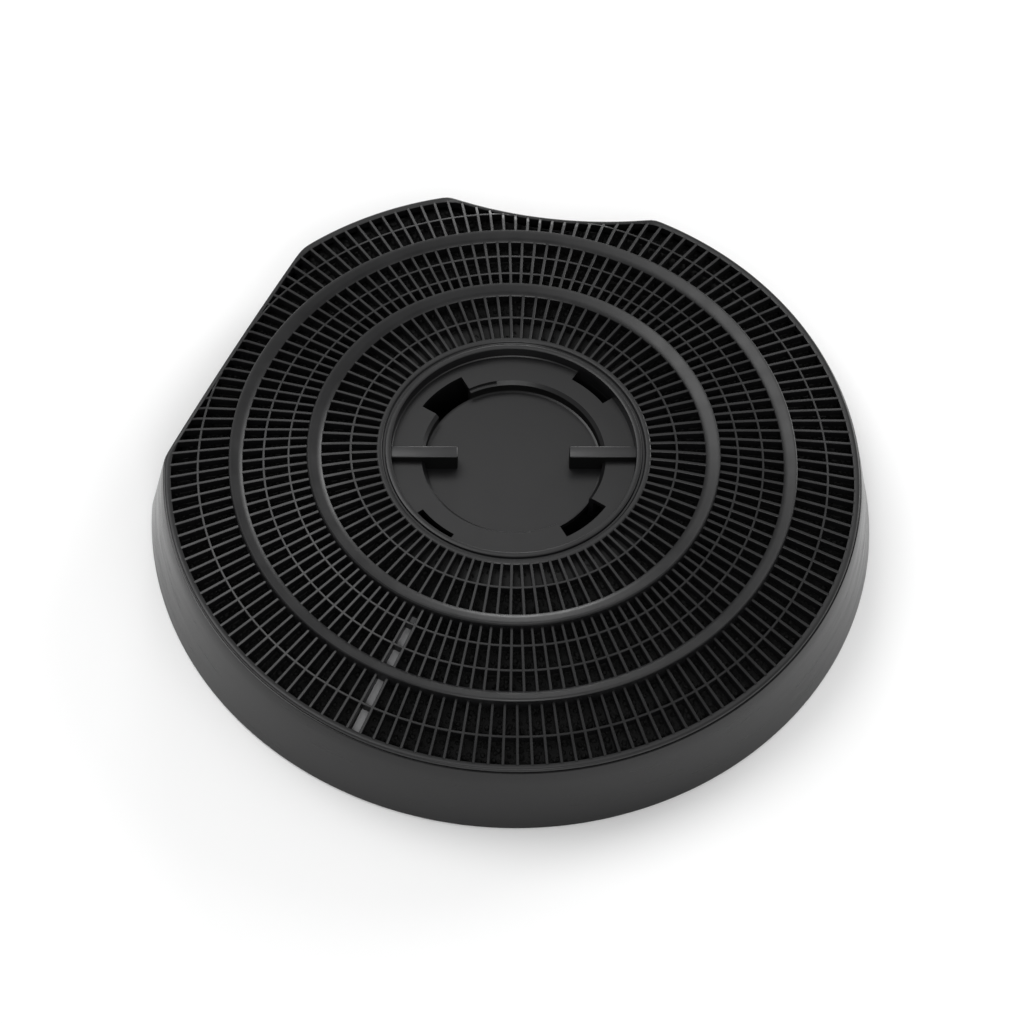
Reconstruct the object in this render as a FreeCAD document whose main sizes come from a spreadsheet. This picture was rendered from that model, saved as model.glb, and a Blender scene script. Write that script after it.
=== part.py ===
import FreeCAD, Part
import math
import os
from FreeCAD import Placement, Rotation, Vector

# A round carbon filter for a cooker hood, lying as it does on a bench.
# The origin is on the hub axis in the plane of the base, +Z points out of the
# front grille, and +X runs along the two finger bars of the hub.
doc = FreeCAD.newDocument("carbon_filter")

# Driving sizes in millimetres and degrees, counts as plain numbers.
driving = {
    # outline of the front grille, seen from above
    "outlineRadius": 114.7,
    "chordDepth": 10.5,
    "chordAngle": 152.6,
    "notchDepth": 11.2,
    "notchRadius": 138.2,
    "notchAngle": 82.2,
    "cornerRadius": 6.0,
    # housing
    "flare": 4.7,
    "seamStep": 0.6,
    "wall": 1.5,
    "plate": 2.0,
    "partitionWidth": 2.9,
    "partitionAngle": 244.3,
    "partitionHubDrop": 1.0,
    # hub
    "tubeBore": 40.2,
    "tubeWall": 2.0,
    "socketStep": 0.8,
    "socketDepth": 25.0,
    "tubeTop": 39.8,
    "seatRibs": 6,
    "seatRibReach": 2.6,
    "seatRibWidth": 1.6,
    "hubFloor": 35.8,
    "hubFloorThickness": 1.8,
    "hubFloorWidth": 11.0,
    "cupWall": 1.8,
    "cupDepth": 4.3,
    "discThickness": 1.6,
    "bossRecess": 1.0,
    "lipChamfer": 1.1,
    "seatFlangeTop": 36.4,
    "seatFlangeThickness": 1.4,
    "barTop": 38.4,
    "barWidth": 4.4,
    "barInnerEnd": 18.3,
    "innerWindowReach": 6.6,
    "innerWindowAngle": 132.2,
    "innerWindowSweep": 28.5,
    "outerWindowReach": 3.7,
    "outerWindowAngle": 46.1,
    "outerWindowSweep": 22.0,
    # front grille: four level rings and the ribs that slope between them
    "rimTop": 28.0,
    "flangeThickness": 1.3,
    "spigotWall": 1.0,
    "grilleDepth": 2.2,
    "ribWidth": 0.95,
    "hoopWidth": 0.75,
    "hoopDepth": 0.8,
    "hoopSides": 40,
    "edgeBarProud": 0.3,
    # each hoop's place across its band, as a share of the band's width
    "hoopShareA": 0.534,
    "hoopShareB": 0.671,
    "hoopShareC": 0.281,
    "hoopShareD": 0.472,
    # each smooth ring's middle, as a share of the outline's radius
    "outerRingShare": 0.795,
    "outerRingWidth": 4.6,
    "outerRingTop": 33.4,
    "innerRingShare": 0.5706,
    "innerRingWidth": 4.9,
    "innerRingTop": 38.2,
    "hubGroove": 1.0,
    "hubRingWidth": 1.8,
    "hubRingTop": 39.9,
    "hubLedgeDrop": 0.8,
    "outerRibs": 151,
    "middleRibs": 131,
    "innerRibs": 91,
    # motor side grid in the base plate of the housing
    "gridBorder": 8.7,
    "gridHubBorder": 4.8,
    "gridHoopShare": 0.52,
    "gridBar": 2.0,
    "gridHoop": 3.0,
    "gridOuterSlots": 36,
    "gridInnerSlots": 18,
    # clearances
    "spigotClearance": 0.2,
    "seatClearance": 0.1,
    "ledgeClearance": 0.2,
    "flangeClearance": 0.2,
    "bedClearance": 0.3,
    "bedSides": 40,
    # how far a cutting body passes the faces it cuts, and pieces reach into each other
    "cutPast": 1.0,
    "joinDepth": 0.5,
}

sheet = doc.addObject("Spreadsheet::Sheet", "sizes")
for row, (alias, value) in enumerate(driving.items(), start=1):
    sheet.set("A%d" % row, alias)
    sheet.set("B%d" % row, str(value))
    sheet.setAlias("B%d" % row, alias)
doc.recompute()


def size(alias):
    return float(sheet.get(alias))


def chord_distance():
    return size("outlineRadius") - size("chordDepth")


def notch_centre():
    return size("outlineRadius") - size("notchDepth") + size("notchRadius")


def outer_ring(side):
    """Radius of the outer smooth ring's outer edge (side 1) or inner edge (side -1)."""
    return size("outlineRadius") * size("outerRingShare") + side * size("outerRingWidth") / 2


def inner_ring(side):
    return size("outlineRadius") * size("innerRingShare") + side * size("innerRingWidth") / 2


def hub_ring(side):
    """Radius of the grille's ring round the hub: its bore (side 0) or its outer edge (side 1)."""
    return size("tubeBore") + size("tubeWall") + size("hubGroove") + side * size("hubRingWidth")


def flange_width():
    """The grille's flange covers the housing wall up to the seam, spigot clearance included."""
    return size("wall") - size("seamStep") + size("spigotClearance")


def wall_top():
    return size("rimTop") - size("flangeThickness") - size("seatClearance")


def bind(item, **expressions):
    """Tie properties of a document object to expressions on the sheet."""
    for name, text in expressions.items():
        item.setExpression(name.replace("_", "."), text)
    return item


def add(kind, label):
    item = doc.addObject(kind, label.replace(" ", "_"))
    item.Label = label
    return item


def turned(angle):
    return Rotation(Vector(0, 0, 1), angle)


def cylinder(label, radius, low, high, sweep=None, start=0.0):
    """An upright cylinder, or a sector of one that starts at an angle."""
    item = add("Part::Cylinder", label)
    item.Placement = Placement(Vector(0, 0, 0), turned(start))
    bind(item, Radius=radius, Height="(%s) - (%s)" % (high, low), Placement_Base_z=low)
    if sweep is not None:
        bind(item, Angle=sweep)
    return item


def cut(label, base, tool):
    item = add("Part::Cut", label)
    item.Base = base
    item.Tool = tool
    return item


def common(label, first, second):
    item = add("Part::Common", label)
    item.Base = first
    item.Tool = second
    return item


def fuse(label, pieces):
    item = add("Part::MultiFuse", label)
    item.Shapes = pieces
    return item


def ring(label, outer, inner, low, high, sweep=None, start=0.0):
    """A tube, or a sector of one, between two radii and two heights."""
    body = cylinder(label + " body", outer, low, high, sweep, start)
    hole = cylinder(label + " hole", inner, low + " - sizes.cutPast", high + " + sizes.cutPast")
    return cut(label, body, hole)


def solid_feature(label, shape):
    item = add("Part::Feature", label)
    item.Shape = shape
    return item


# The outline is a disc with a straight chord and a round notch. A form grown by
# some amount lies that much outside it, and its wall widens towards the base.
margin = 20.0


def chord_cutter(label, growth, widening, low, high):
    """A block whose near face is the chord's wall, leaning in by the draft."""
    height = high - low
    lean = math.degrees(math.atan2(widening, height))
    reach = size("outlineRadius") + margin
    block = add("Part::Box", label)
    block.Length = reach
    block.Width = 2 * reach
    block.Height = height + 2 * margin
    block.Placement = Placement(Vector(0, -reach, -margin), Rotation())
    leaned = Placement(Vector(0, 0, 0), Rotation(Vector(0, 1, 0), -lean))
    foot = Vector(chord_distance() + growth + widening, 0, low)
    stood = Placement(foot, Rotation())
    facing = Placement(Vector(0, 0, 0), turned(size("chordAngle")))
    block.Placement = facing.multiply(stood).multiply(leaned).multiply(block.Placement)
    return block


def notch_cutter(label, growth, widening, low, high):
    """A round block whose wall is the notch, narrower at the base by the draft."""
    slope = widening / (high - low)
    radius = size("notchRadius") - growth
    form = add("Part::Cone", label) if widening else add("Part::Cylinder", label)
    if widening:
        form.Radius1 = radius - widening - slope * margin
        form.Radius2 = radius + slope * margin
    else:
        form.Radius = radius
    form.Height = high - low + 2 * margin
    angle = math.radians(size("notchAngle"))
    centre = notch_centre() * Vector(math.cos(angle), math.sin(angle), 0)
    form.Placement = Placement(centre + Vector(0, 0, low - margin), Rotation())
    return form


def outline_form(label, growth, low, high, widening=0.0, corner=0.0):
    radius = size("outlineRadius") + growth
    disc = add("Part::Cone", label + " disc") if widening else add("Part::Cylinder", label + " disc")
    if widening:
        disc.Radius1 = radius + widening
        disc.Radius2 = radius
    else:
        disc.Radius = radius
    disc.Height = high - low
    disc.Placement = Placement(Vector(0, 0, low), turned(size("chordAngle")))
    chord = chord_cutter(label + " chord", growth, widening, low, high)
    notch = notch_cutter(label + " notch", growth, widening, low, high)
    form = cut(label, cut(label + " flat", disc, chord), notch)
    if not corner:
        return form
    doc.recompute()
    rounded = add("Part::Fillet", label + " rounded")
    rounded.Base = form
    upright = []
    for number, edge in enumerate(form.Shape.Edges, start=1):
        heights = [vertex.Z for vertex in edge.Vertexes]
        if max(heights) - min(heights) > 0.5 * (high - low):
            upright.append((number, corner, corner))
    rounded.Edges = upright
    return rounded


# Front grille: a lattice of flat faces. The ribs slope from one level ring to the
# next, and every cell between two ribs is open from top to bottom.
def rib_ends(radius, count, width):
    """Left corner, keel and right corner of each rib's end on a circle, going round."""
    half = math.asin(width / 2 / radius)
    ends = []
    for number in range(count):
        angle = 2 * math.pi * number / count
        reaches = ((-half, radius), (0.0, radius * math.cos(half)), (half, radius))
        ends.append([Vector(reach * math.cos(angle + swing), reach * math.sin(angle + swing), 0)
                     for swing, reach in reaches])
    return ends


def lifted(point, height):
    return Vector(point.x, point.y, height)


def flat_face(points):
    return Part.Face(Part.makePolygon(points + points[:1]))


def band_faces(inner, outer, inner_top, outer_top, depth):
    """Ribs that narrow to a keel, and the ends of the cells between them."""
    faces = []
    count = len(inner)
    for number in range(count):
        near = inner[number]
        far = outer[number]
        keel = [lifted(far[1], outer_top - depth), lifted(near[1], inner_top - depth)]
        faces.append(flat_face([lifted(near[0], inner_top), lifted(near[2], inner_top),
                                lifted(far[2], outer_top), lifted(far[0], outer_top)]))
        for side in (0, 2):
            faces.append(flat_face([lifted(near[side], inner_top), lifted(far[side], outer_top)] + keel))
        for ends, top in ((inner, inner_top), (outer, outer_top)):
            start = ends[number]
            finish = ends[(number + 1) % count]
            faces.append(flat_face([lifted(start[2], top), lifted(finish[0], top),
                                    lifted(finish[1], top - depth), lifted(start[1], top - depth)]))
    return faces


def many_sided(ends, height):
    corners = [lifted(point, height) for left, keel, right in ends for point in (left, right)]
    return Part.makePolygon(corners + corners[:1])


def keel_sided(ends, height):
    corners = [lifted(keel, height) for left, keel, right in ends]
    return Part.makePolygon(corners + corners[:1])


def half_circles(radius, height):
    axis = Vector(0, 0, 1)
    return [Part.makeCircle(radius, Vector(0, 0, height), axis, start, start + 180) for start in (0, 180)]


def circle(radius, height):
    return Part.Wire(half_circles(radius, height))


def level_faces(outer_wire, inner_wire):
    return Part.makeFace([outer_wire, inner_wire], "Part::FaceMakerBullseye")


def turned_faces(profile):
    """The faces swept by an open profile of radius and height points."""
    points = [Vector(radius, 0, height) for radius, height in profile]
    faces = []
    for start, finish in zip(points[:-1], points[1:]):
        line = Part.makeLine(start, finish)
        half = line.revolve(Vector(0, 0, 0), Vector(0, 0, 1), 180)
        other = half.copy()
        other.rotate(Vector(0, 0, 0), Vector(0, 0, 1), 180)
        faces += [half, other]
    return faces


def rim_inner():
    return size("outlineRadius") - flange_width() - size("spigotWall")


def lattice():
    """The whole round grille, before the chord and the notch are taken off."""
    width = size("ribWidth")
    depth = size("grilleDepth")
    bands = (
        (outer_ring(1), rim_inner(), size("outerRingTop"), size("rimTop"), int(size("outerRibs"))),
        (inner_ring(1), outer_ring(-1), size("innerRingTop"), size("outerRingTop"),
         int(size("middleRibs"))),
        (hub_ring(1), inner_ring(-1), size("hubRingTop"), size("innerRingTop"),
         int(size("innerRibs"))),
    )
    faces = []
    ends = []
    for inner, outer, inner_top, outer_top, count in bands:
        inner_ends = rib_ends(inner, count, width)
        outer_ends = rib_ends(outer, count, width)
        ends.append((inner_ends, outer_ends))
        faces += band_faces(inner_ends, outer_ends, inner_top, outer_top, depth)
    rim = size("rimTop")
    seat = rim - size("flangeThickness")
    edge = size("outlineRadius")
    spigot = edge - flange_width()
    hub = size("hubRingTop")
    bore = hub_ring(0)
    faces.append(level_faces(circle(edge, rim), many_sided(ends[0][1], rim)))
    faces.append(level_faces(circle(spigot, rim - depth), keel_sided(ends[0][1], rim - depth)))
    faces += turned_faces([(edge, rim), (edge, seat), (spigot, seat), (spigot, rim - depth)])
    for outer_ends, inner_ends, top in ((ends[0][0], ends[1][1], size("outerRingTop")),
                                        (ends[1][0], ends[2][1], size("innerRingTop"))):
        faces.append(level_faces(many_sided(outer_ends, top), many_sided(inner_ends, top)))
        faces.append(level_faces(keel_sided(outer_ends, top - depth), keel_sided(inner_ends, top - depth)))
    faces.append(level_faces(many_sided(ends[2][0], hub), circle(bore, hub)))
    # inside the hub ring a sloping ledge reaches to the tube and closes the groove between them
    ledge = size("tubeBore") + size("tubeWall") + size("ledgeClearance")
    step = hub - size("hubLedgeDrop")
    faces.append(level_faces(keel_sided(ends[2][0], hub - depth), circle(ledge, hub - depth)))
    faces += turned_faces([(bore, hub), (ledge, step), (ledge, hub - depth)])
    shell = Part.makeShell(faces)
    shell.sewShape()
    solid = Part.makeSolid(shell)
    if solid.Volume < 0:
        solid.reverse()
    return solid


def profile_ring(points):
    """A full turn of a profile given as radius and height."""
    return flat_face([Vector(radius, 0, height) for radius, height in points]).revolve(
        Vector(0, 0, 0), Vector(0, 0, 1), 360)


def edge_envelope():
    """Space for the edge bars: it follows the ribs' slope, a little proud of them."""
    proud = size("edgeBarProud")
    slope = (size("outerRingTop") - size("rimTop")) / (rim_inner() - outer_ring(1))
    start = outer_ring(1)
    reach = size("outlineRadius") + margin
    top = size("outerRingTop") + proud
    level = start + (top - size("rimTop")) / slope
    bottom = size("outerRingTop") - size("grilleDepth") - proud
    floor = bottom - slope * (size("outlineRadius") - start)
    return profile_ring([(start, top), (level, size("rimTop")), (reach, size("rimTop")),
                         (reach, floor), (size("outlineRadius"), floor), (start, bottom)])


def corners_round(radius, height, sides):
    turns = [2 * math.pi * number / sides for number in range(sides)]
    return [Vector(radius * math.cos(turn), radius * math.sin(turn), height) for turn in turns]


def hoop_line(radius, height):
    """A closed line with as many sides as the hoops have."""
    corners = corners_round(radius, height, int(size("hoopSides")))
    return Part.makePolygon(corners + corners[:1])


def hoop(radius):
    """A thin many-sided hoop that lies against the keels of the ribs."""
    inner = radius - size("hoopWidth") / 2
    outer = radius + size("hoopWidth") / 2
    top = underside(outer)
    return level_faces(hoop_line(outer, top), hoop_line(inner, top)).extrude(Vector(0, 0, -size("hoopDepth")))


def hoop_place(name):
    """Middle radius of a hoop, from its share of the band that it crosses."""
    bands = {"A": (outer_ring(1), rim_inner()), "B": (inner_ring(1), outer_ring(-1)),
             "C": (inner_ring(1), outer_ring(-1)), "D": (hub_ring(1), inner_ring(-1))}
    near, far = bands[name]
    return near + size("hoopShare" + name) * (far - near)


def front_grille():
    low = size("rimTop") - 3 * size("grilleDepth")
    high = size("hubRingTop") + size("grilleDepth")
    bar = flange_width() + size("spigotWall")
    bite = bar / 4
    full = solid_feature("grille lattice", lattice())
    cut_offs = [chord_cutter("grille chord", bite - bar, 0, low, high),
                notch_cutter("grille notch", bite - bar, 0, low, high)]
    trimmed = cut("grille cut", full, fuse("grille cut offs", cut_offs))
    outline = outline_form("grille outline", 0, low, high, 0, size("cornerRadius"))
    beyond = [chord_cutter("bar chord", -bar, 0, low, high), notch_cutter("bar notch", -bar, 0, low, high)]
    strips = common("edge strips", outline, fuse("edge blocks", beyond))
    bars = common("edge bars", strips, solid_feature("edge envelope", edge_envelope()))
    # below the flange the bars are set in like the rest of the rim
    around = cylinder("seat block", "sizes.outlineRadius + sizes.cutPast",
                      "sizes.rimTop - 3 * sizes.grilleDepth - sizes.cutPast",
                      "sizes.rimTop - sizes.flangeThickness")
    spigot = outline_form("spigot outline", -flange_width(), low - 2 * size("cutPast"), high)
    stepped = cut("stepped bars", bars, cut("seat space", around, spigot))
    lattice_piece = fuse("grille moulding", [trimmed, stepped])
    hoops = [solid_feature("hoop " + name, hoop(hoop_place(name))) for name in ("A", "B", "C", "D")]
    hoops[0] = cut("hoop A within the bars", hoops[0], fuse("hoop ends", beyond))
    whole = add("Part::Compound", "front_grille")
    whole.Links = [lattice_piece] + hoops
    return whole


def grid_slots():
    """Openings of the motor side grid, two rows of them round the hub."""
    low = -size("cutPast")
    height = size("plate") + 2 * size("cutPast")
    bar = size("gridBar")
    hoop = size("gridHoop")
    slots = []
    border = size("outlineRadius") - size("gridBorder")
    start = size("tubeBore") + size("tubeWall") + size("gridHubBorder")
    middle = start + size("gridHoopShare") * (border - start)
    rows = (
        (middle + hoop / 2, border, int(size("gridOuterSlots"))),
        (start, middle - hoop / 2, int(size("gridInnerSlots"))),
    )
    for inner, outer, count in rows:
        near = rib_ends(inner, count, bar)
        far = rib_ends(outer, count, bar)
        for number in range(count):
            following = (number + 1) % count
            corners = (near[number][2], near[following][0], far[following][0], far[number][2])
            face = flat_face([lifted(point, low) for point in corners])
            slots.append(face.extrude(Vector(0, 0, height)))
    return Part.makeCompound(slots)


def underside(radius):
    """Height of the grille's underside at a radius."""
    stations = (
        (hub_ring(0), size("hubRingTop")), (hub_ring(1), size("hubRingTop")),
        (inner_ring(-1), size("innerRingTop")), (inner_ring(1), size("innerRingTop")),
        (outer_ring(-1), size("outerRingTop")), (outer_ring(1), size("outerRingTop")),
        (rim_inner(), size("rimTop")), (size("outlineRadius") + margin, size("rimTop")),
    )
    for (near, near_top), (far, far_top) in zip(stations[:-1], stations[1:]):
        if near <= radius <= far:
            share = (radius - near) / (far - near)
            return near_top + share * (far_top - near_top) - size("grilleDepth")
    raise ValueError("no grille at radius %.1f" % radius)


def under_grille(inner, outer, gap):
    """Corners of a profile that runs just below the grille, from inside to outside."""
    bends = [hub_ring(1), inner_ring(-1), inner_ring(1),
             outer_ring(-1), outer_ring(1), rim_inner()]
    radii = [inner] + [bend for bend in bends if inner < bend < outer] + [outer]
    return [(radius, underside(radius) - gap) for radius in radii]


def partition():
    """The radial wall of the housing, its top edge just under the grille."""
    inner = size("tubeBore") + size("tubeWall") / 2
    outer = size("outlineRadius") + size("flare")
    floor = size("plate") / 2
    width = size("partitionWidth")
    start = hub_ring(1)
    drop = size("hoopDepth") + size("bedClearance")
    top = [(inner, underside(start) - size("partitionHubDrop"))] + under_grille(start, outer, drop)
    corners = [Vector(radius, -width / 2, height) for radius, height in top]
    corners += [Vector(outer, -width / 2, floor), Vector(inner, -width / 2, floor)]
    wall = flat_face(corners).extrude(Vector(0, width, 0))
    wall.rotate(Vector(0, 0, 0), Vector(0, 0, 1), size("partitionAngle"))
    return wall


def lipped(floor_ring):
    """The hub floor with the top edge of its central hole broken."""
    doc.recompute()
    chosen = [number for number, edge in enumerate(floor_ring.Shape.Edges, start=1)
              if abs(edge.BoundBox.ZMin - size("hubFloor")) < 0.01
              and abs(edge.BoundBox.XMax - (size("tubeBore") - size("hubFloorWidth"))) < 0.01]
    lip = add("Part::Chamfer", "hub floor lip")
    lip.Base = floor_ring
    lip.Edges = [(number, size("lipChamfer"), size("lipChamfer")) for number in chosen]
    return lip


def flange_reach():
    return hoop_place("D") - size("hoopWidth") / 2 - size("flangeClearance")


def seat_flange():
    """The flange round the hub under the inner ends of the ribs, up to the innermost hoop."""
    top = size("seatFlangeTop")
    inner = size("tubeBore") + size("tubeWall") / 2
    plate = level_faces(hoop_line(flange_reach(), top), circle(inner, top))
    return plate.extrude(Vector(0, 0, -size("seatFlangeThickness")))


def hub():
    """The cup in the middle: tube with its flange, stepped floor, finger bars and windows."""
    tube_outer = "sizes.tubeBore + sizes.tubeWall"
    floor_low = "sizes.hubFloor - sizes.hubFloorThickness"
    cup_bore = "sizes.tubeBore - sizes.hubFloorWidth"
    cup_outer = cup_bore + " + sizes.cupWall"
    disc_top = "sizes.hubFloor - sizes.cupDepth"
    boss_low = "sizes.socketDepth + sizes.bossRecess"
    seat = "sizes.hubRingTop - sizes.grilleDepth - sizes.seatClearance"
    floor_ring = ring("hub floor", "sizes.tubeBore + sizes.tubeWall / 2", cup_bore, floor_low,
                      "sizes.hubFloor")
    pieces = [
        ring("hub tube", tube_outer, "sizes.tubeBore", "0", "sizes.tubeTop"),
        lipped(floor_ring),
        ring("boss", cup_outer, cup_bore, boss_low, floor_low + " + sizes.joinDepth"),
        cylinder("hub disc", cup_bore + " + sizes.cupWall / 2", disc_top + " - sizes.discThickness",
                 disc_top),
    ]
    pieces.append(solid_feature("seat flange", seat_flange()))
    for number in range(2):
        bar = add("Part::Box", "finger bar %d" % (number + 1))
        bind(bar, Length="sizes.tubeBore + sizes.tubeWall / 2 - sizes.barInnerEnd", Width="sizes.barWidth",
             Height="sizes.barTop - (%s) + sizes.discThickness / 2" % disc_top)
        start = Vector(size("barInnerEnd"), -size("barWidth") / 2,
                       size("hubFloor") - size("cupDepth") - size("discThickness") / 2)
        facing = Placement(Vector(0, 0, 0), turned(180 * number))
        bar.Placement = facing.multiply(Placement(start, Rotation()))
        pieces.append(bar)
    for number in range(int(size("seatRibs"))):
        rib = add("Part::Box", "seat rib %d" % (number + 1))
        bind(rib, Length="sizes.tubeWall / 2 + sizes.seatRibReach", Width="sizes.seatRibWidth",
             Height=seat + " - sizes.plate / 2")
        start = Vector(size("tubeBore") + size("tubeWall") / 2, -size("seatRibWidth") / 2, size("plate") / 2)
        facing = turned(360 * number / size("seatRibs"))
        rib.Placement = Placement(Vector(0, 0, 0), facing).multiply(Placement(start, Rotation()))
        pieces.append(rib)
    # a bar reaches the tube above the floor only: under it the cup wall ends the bar
    under = ring("space under the floor", "sizes.tubeBore", cup_outer, "sizes.socketDepth", floor_low)
    socket = "sizes.tubeBore + sizes.socketStep"
    windows = [cylinder("socket", socket, "-sizes.cutPast", "sizes.socketDepth")]
    for number in range(2):
        start = size("innerWindowAngle") - size("innerWindowSweep") / 2 + 180 * number
        windows.append(ring("inner window %d" % (number + 1), cup_bore + " + sizes.innerWindowReach",
                            cup_bore, boss_low + " - sizes.cutPast",
                            "sizes.hubFloor + sizes.cutPast", "sizes.innerWindowSweep", start))
        start = size("outerWindowAngle") - size("outerWindowSweep") / 2 + 180 * number
        windows.append(ring("outer window %d" % (number + 1), "sizes.tubeBore",
                            "sizes.tubeBore - sizes.outerWindowReach", floor_low + " - sizes.cutPast",
                            "sizes.hubFloor + sizes.cutPast", "sizes.outerWindowSweep", start))
    return cut("hub", fuse("hub pieces", pieces), fuse("hub cut outs", windows + [under]))


def filter_housing():
    """One moulding: side wall, base plate with its grid, hub and radial partition."""
    top = wall_top()
    step = size("seamStep")
    outer = outline_form("housing outer", step, 0, top, size("flare"), size("cornerRadius"))
    inner = outline_form("housing inner", step - size("wall"), 0, top, size("flare"))
    block = add("Part::Box", "plate block")
    reach = size("outlineRadius") + margin
    block.Length = block.Width = 2 * reach
    bind(block, Height="sizes.plate")
    block.Placement = Placement(Vector(-reach, -reach, 0), Rotation())
    hollow = cut("housing hollow", inner, block)
    wall = cut("wall and plate", outer, hollow)
    slots = solid_feature("grid slots", grid_slots())
    under_hub = cylinder("hub opening", "sizes.tubeBore + sizes.tubeWall / 2", "-sizes.cutPast",
                         "sizes.plate + sizes.cutPast")
    pierced = cut("pierced housing", wall, fuse("base openings", [slots, under_hub]))
    divider = common("divider", solid_feature("divider blank", partition()),
                     inside_limit("divider limit", size("wall") / 2))
    return fuse("filter_housing", [pierced, hub(), divider])


def inside_limit(label, inset):
    """The inside of the drafted side wall, carried on up past the grille."""
    high = size("hubRingTop")
    stretch = high / wall_top()
    growth = size("seamStep") - inset - size("flare") * (stretch - 1)
    return outline_form(label, growth, 0, high, size("flare") * stretch)


def bed_blank():
    """A many-sided ring of granules in flat faces: its top slopes and is stepped under the hub's flange."""
    gap = size("bedClearance")
    sides = int(size("bedSides"))
    widen = 1 / math.cos(math.pi / sides)
    inner = (size("tubeBore") + size("tubeWall") + size("seatRibReach") + gap) * widen
    step = (flange_reach() + gap) * widen
    outer = size("outlineRadius") + size("seamStep") - size("wall") - gap
    high = size("hubRingTop") - size("grilleDepth") - gap
    low = size("rimTop") - size("grilleDepth") - size("hoopDepth") - gap
    floor = size("plate")
    under_flange = size("seatFlangeTop") - size("seatFlangeThickness") - gap
    section = ((inner, floor), (outer + size("flare") * (1 - floor / wall_top()), floor),
               (outer + size("flare") * (1 - low / wall_top()), low),
               (step, high - (high - low) * (step - inner) / (outer - inner)),
               (step, under_flange), (inner, under_flange))
    rings = [corners_round(radius, height, sides) for radius, height in section]
    faces = []
    for number in range(sides):
        following = (number + 1) % sides
        for near, far in zip(rings, rings[1:] + rings[:1]):
            faces.append(flat_face([near[number], near[following], far[following], far[number]]))
    shell = Part.makeShell(faces)
    shell.sewShape()
    solid = Part.makeSolid(shell)
    if solid.Volume < 0:
        solid.reverse()
    return solid


def carbon_granules():
    """The bed of granules that fills the housing between plate, hub, wall and grille."""
    gap = size("bedClearance")
    inset = size("seamStep") - size("wall") - gap
    width = size("partitionWidth") + 2 * gap
    slit = add("Part::Box", "bed slit")
    slit.Length = size("outlineRadius") + margin
    slit.Width = width
    slit.Height = size("hubRingTop")
    slit.Placement = Placement(Vector(0, 0, 0), turned(size("partitionAngle"))).multiply(
        Placement(Vector(0, -width / 2, 0), Rotation()))
    ends = [chord_cutter("bed chord", inset, size("flare"), 0, wall_top()),
            notch_cutter("bed notch", inset, size("flare"), 0, wall_top()), slit]
    return cut("carbon_granules", solid_feature("bed blank", bed_blank()), fuse("bed cut outs", ends))


nodes = [filter_housing(), front_grille(), carbon_granules()]
doc.recompute()

for item in doc.Objects:
    if "Invalid" in item.State or "Error" in item.State:
        raise RuntimeError("%s failed: %s" % (item.Label, item.State))

os.makedirs("parts", exist_ok=True)
for node in nodes:
    shape = node.Shape
    if shape.isNull() or not shape.isValid() or not shape.Solids:
        raise RuntimeError("%s has no valid solid" % node.Label)
    shape.exportStep("parts/%s.step" % node.Label)
    print(node.Label, len(shape.Solids), "solids", round(shape.Volume), "mm3", shape.BoundBox)
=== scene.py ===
import math
import random
import time
import bmesh
import bpy
from mathutils import Matrix, Vector


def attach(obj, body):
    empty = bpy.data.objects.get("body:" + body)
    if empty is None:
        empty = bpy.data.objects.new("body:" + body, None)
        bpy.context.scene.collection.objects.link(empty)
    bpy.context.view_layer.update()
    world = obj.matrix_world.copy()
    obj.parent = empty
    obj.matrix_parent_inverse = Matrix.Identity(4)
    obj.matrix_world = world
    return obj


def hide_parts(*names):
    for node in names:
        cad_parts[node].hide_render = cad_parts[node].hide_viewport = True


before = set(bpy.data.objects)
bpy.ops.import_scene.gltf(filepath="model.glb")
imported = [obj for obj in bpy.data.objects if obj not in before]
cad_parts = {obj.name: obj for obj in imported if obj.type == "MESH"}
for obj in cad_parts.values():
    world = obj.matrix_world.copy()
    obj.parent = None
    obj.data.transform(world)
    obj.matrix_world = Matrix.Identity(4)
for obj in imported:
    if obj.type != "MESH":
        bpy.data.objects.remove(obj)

started = time.time()
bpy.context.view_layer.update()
mm = 0.001
upAxis = Vector((0, 0, 1))
fullTurn = 2 * math.pi


# camera: standing at the photograph's angle, everything in the filter's own frame
cameraSetup = {
    "elevation": 56.541,     # degrees above the bench
    "heading": -2.98,        # degrees, how far the filter's bars are turned in the photograph
    "roll": 2.49,
    "distance": 1490.4,      # mm from the aim point
    "aimHeight": 30.53,
    "slideRight": -0.392,
    "slideUp": -15.505,
    "lens": 159.18,
    "sensorWidth": 36,
    "clipStart": 0.05,       # metres
    "clipEnd": 20,
}


def makeCamera(setup):
    elevation = math.radians(setup["elevation"])
    roll = math.radians(setup["roll"])
    back = Vector((0, -math.cos(elevation), math.sin(elevation)))
    right = Vector((1, 0, 0))
    up = back.cross(right)
    rolledRight = math.cos(roll) * right + math.sin(roll) * up
    rolledUp = -math.sin(roll) * right + math.cos(roll) * up
    place = setup["slideRight"] * rolledRight + setup["slideUp"] * rolledUp + setup["distance"] * back
    pose = Matrix((rolledRight, rolledUp, back)).transposed().to_4x4()
    pose.translation = place * mm
    turned = Matrix.Rotation(math.radians(setup["heading"]), 4, "Z") @ pose
    camera = bpy.data.objects.new("camera", bpy.data.cameras.new("camera"))
    bpy.context.scene.collection.objects.link(camera)
    camera.matrix_world = Matrix.Translation((0, 0, setup["aimHeight"] * mm)) @ turned
    camera.data.sensor_width = setup["sensorWidth"]
    camera.data.lens = setup["lens"]
    camera.data.clip_start = setup["clipStart"]
    camera.data.clip_end = setup["clipEnd"]
    bpy.context.scene.camera = camera


makeCamera(cameraSetup)
print("camera ready")


# materials
mixSockets = {"factor": 0, "first": 6, "second": 7, "result": 2}


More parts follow.
